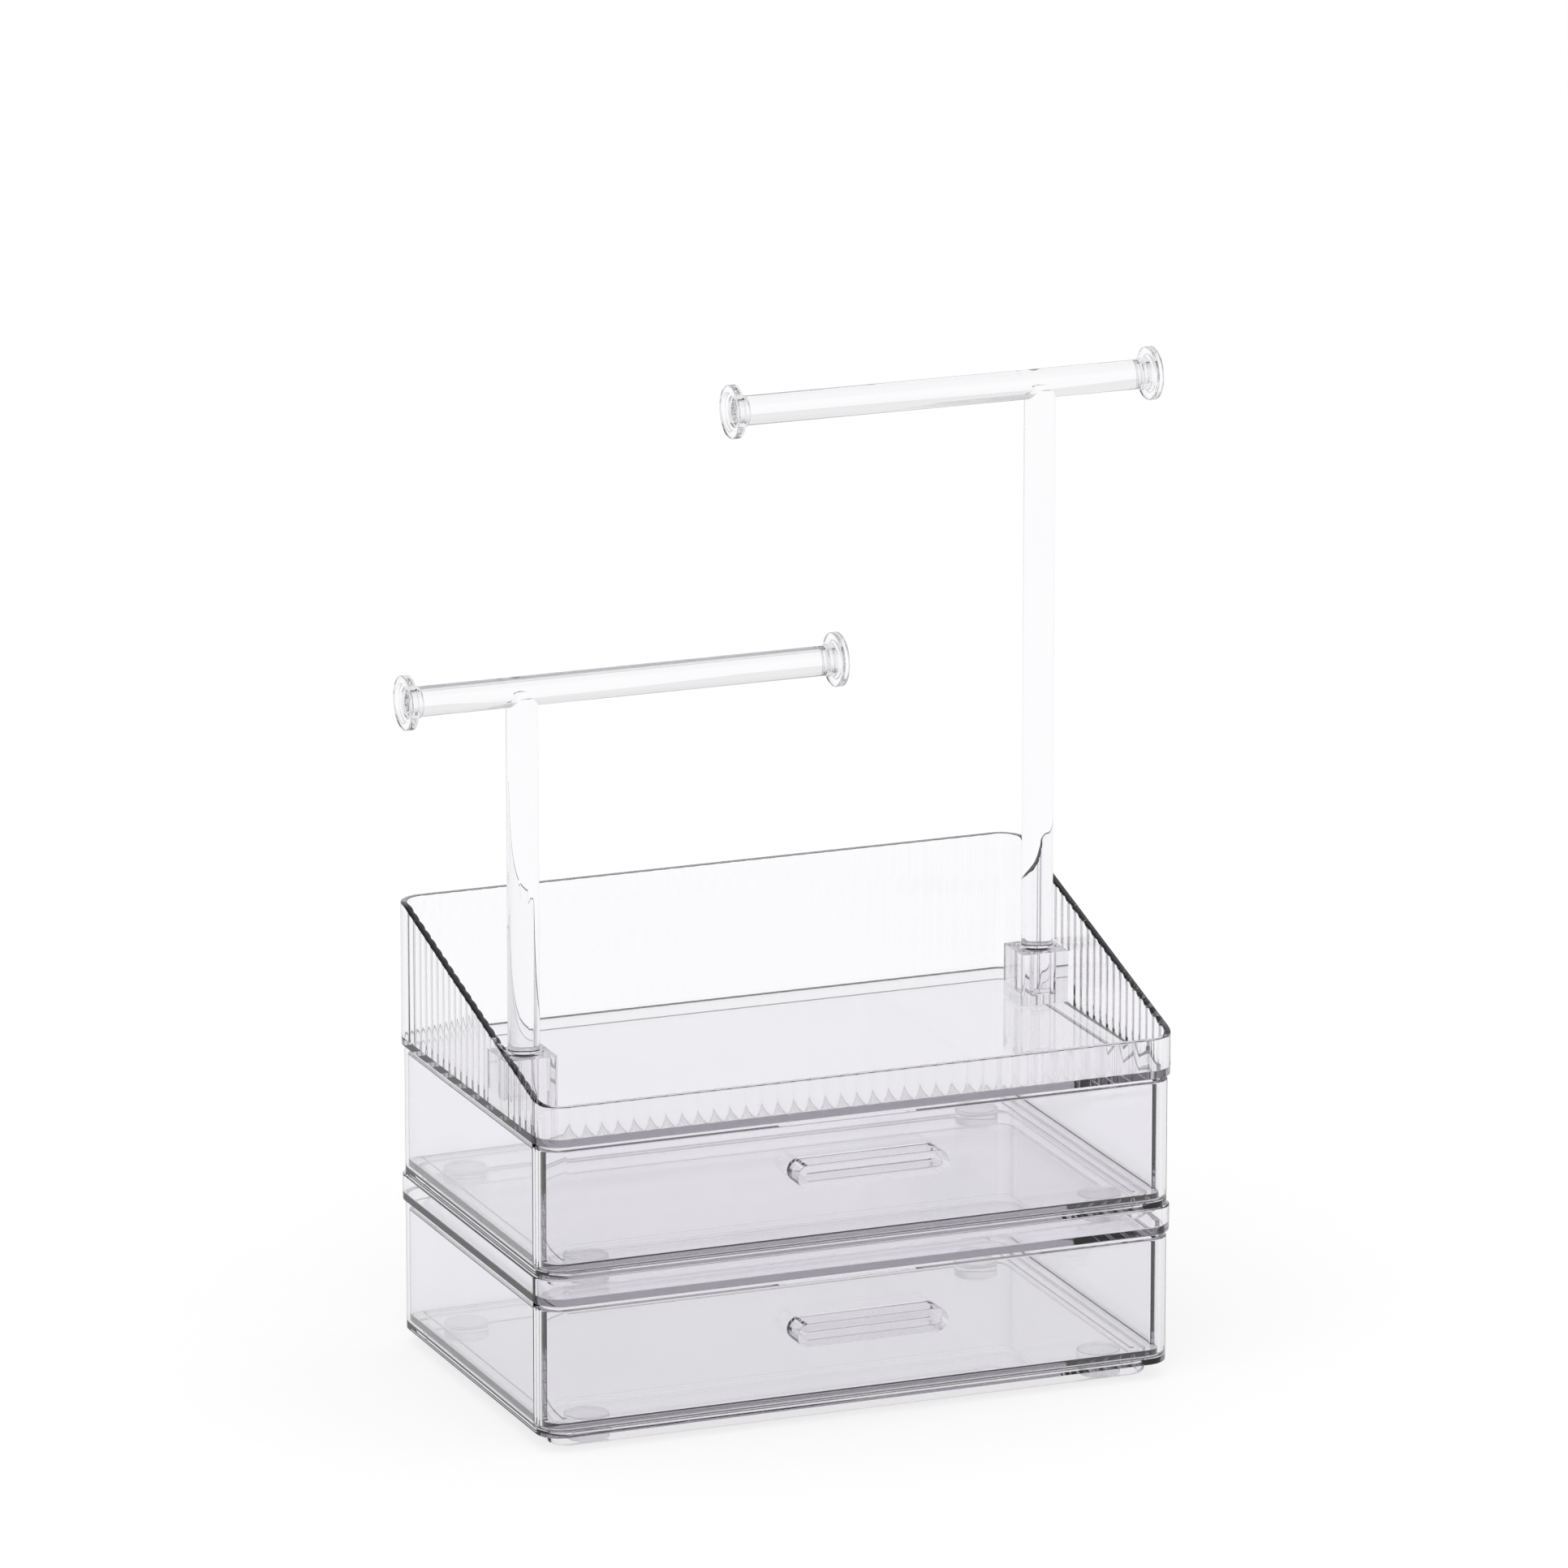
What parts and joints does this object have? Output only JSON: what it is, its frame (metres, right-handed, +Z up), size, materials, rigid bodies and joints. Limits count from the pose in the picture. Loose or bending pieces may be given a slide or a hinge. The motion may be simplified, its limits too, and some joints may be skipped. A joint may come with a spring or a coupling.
{
  "type": "jewelry stand with drawer",
  "caption": "Clear plastic jewellery organiser: stacked drawer boxes, a low tray, a deep reeded tray and T-shaped necklace stands that pull out of square sockets.",
  "frame": {"origin": "on the table, under the centre of the whole set's bounding box", "axes": "+Z up, drawers open towards -Y, +X to the right seen from the front"},
  "size_m": [0.3058, 0.1572, 0.3498],
  "materials": {
    "clear_plastic": "clear moulded plastic with a faint cool tint, polished",
    "clear_rod": "colourless clear plastic rod, polished",
    "silicone": "translucent white silicone, satin"
  },
  "bodies": {
    "lower_unit": {"lower_housing": "clear_plastic", "lower_tray": "clear_plastic", "lower_pads": "silicone"},
    "lower_drawer": {"lower_drawer_tub": "clear_plastic", "lower_drawer_front": "clear_plastic", "lower_drawer_handle": "clear_plastic"},
    "upper_unit": {"upper_housing": "clear_plastic", "upper_tray": "clear_plastic", "upper_pads": "silicone", "short_stand_socket": "clear_plastic", "tall_stand_socket": "clear_plastic"},
    "upper_drawer": {"upper_drawer_tub": "clear_plastic", "upper_drawer_front": "clear_plastic", "upper_drawer_handle": "clear_plastic"},
    "short_collar": {"short_stand_collar": "clear_rod"},
    "short_stand": {"short_stand_post": "clear_rod", "short_stand_bar": "clear_rod", "short_near_cap": "clear_rod", "short_far_cap": "clear_rod"},
    "tall_collar": {"tall_stand_collar": "clear_rod"},
    "tall_stand": {"tall_stand_post": "clear_rod", "tall_stand_bar": "clear_rod", "tall_near_cap": "clear_rod", "tall_far_cap": "clear_rod"}
  },
  "joints": [
    {"name": "lower_drawer_slide", "type": "slide", "parent": "lower_unit", "child": "lower_drawer", "axis": [0, -1, 0], "range_m": [0, 0.11]},
    {"name": "upper_unit_lift", "type": "slide", "parent": "lower_unit", "child": "upper_unit", "axis": [0, 0, 1], "range_m": [0, 0.0816]},
    {"name": "upper_drawer_slide", "type": "slide", "parent": "upper_unit", "child": "upper_drawer", "axis": [0, -1, 0], "range_m": [0, 0.11]},
    {"name": "short_stand_turn", "type": "hinge", "parent": "upper_unit", "child": "short_collar", "pos_m": [-0.109, -0.0237, 0.133], "axis": [0, 0, 1], "continuous": true},
    {"name": "short_stand_lift", "type": "slide", "parent": "short_collar", "child": "short_stand", "axis": [0, 0, 1], "range_m": [0, 0.03]},
    {"name": "tall_stand_turn", "type": "hinge", "parent": "upper_unit", "child": "tall_collar", "pos_m": [0.109, 0.0329, 0.133], "axis": [0, 0, 1], "continuous": true},
    {"name": "tall_stand_lift", "type": "slide", "parent": "tall_collar", "child": "tall_stand", "axis": [0, 0, 1], "range_m": [0, 0.03]}
  ]
}
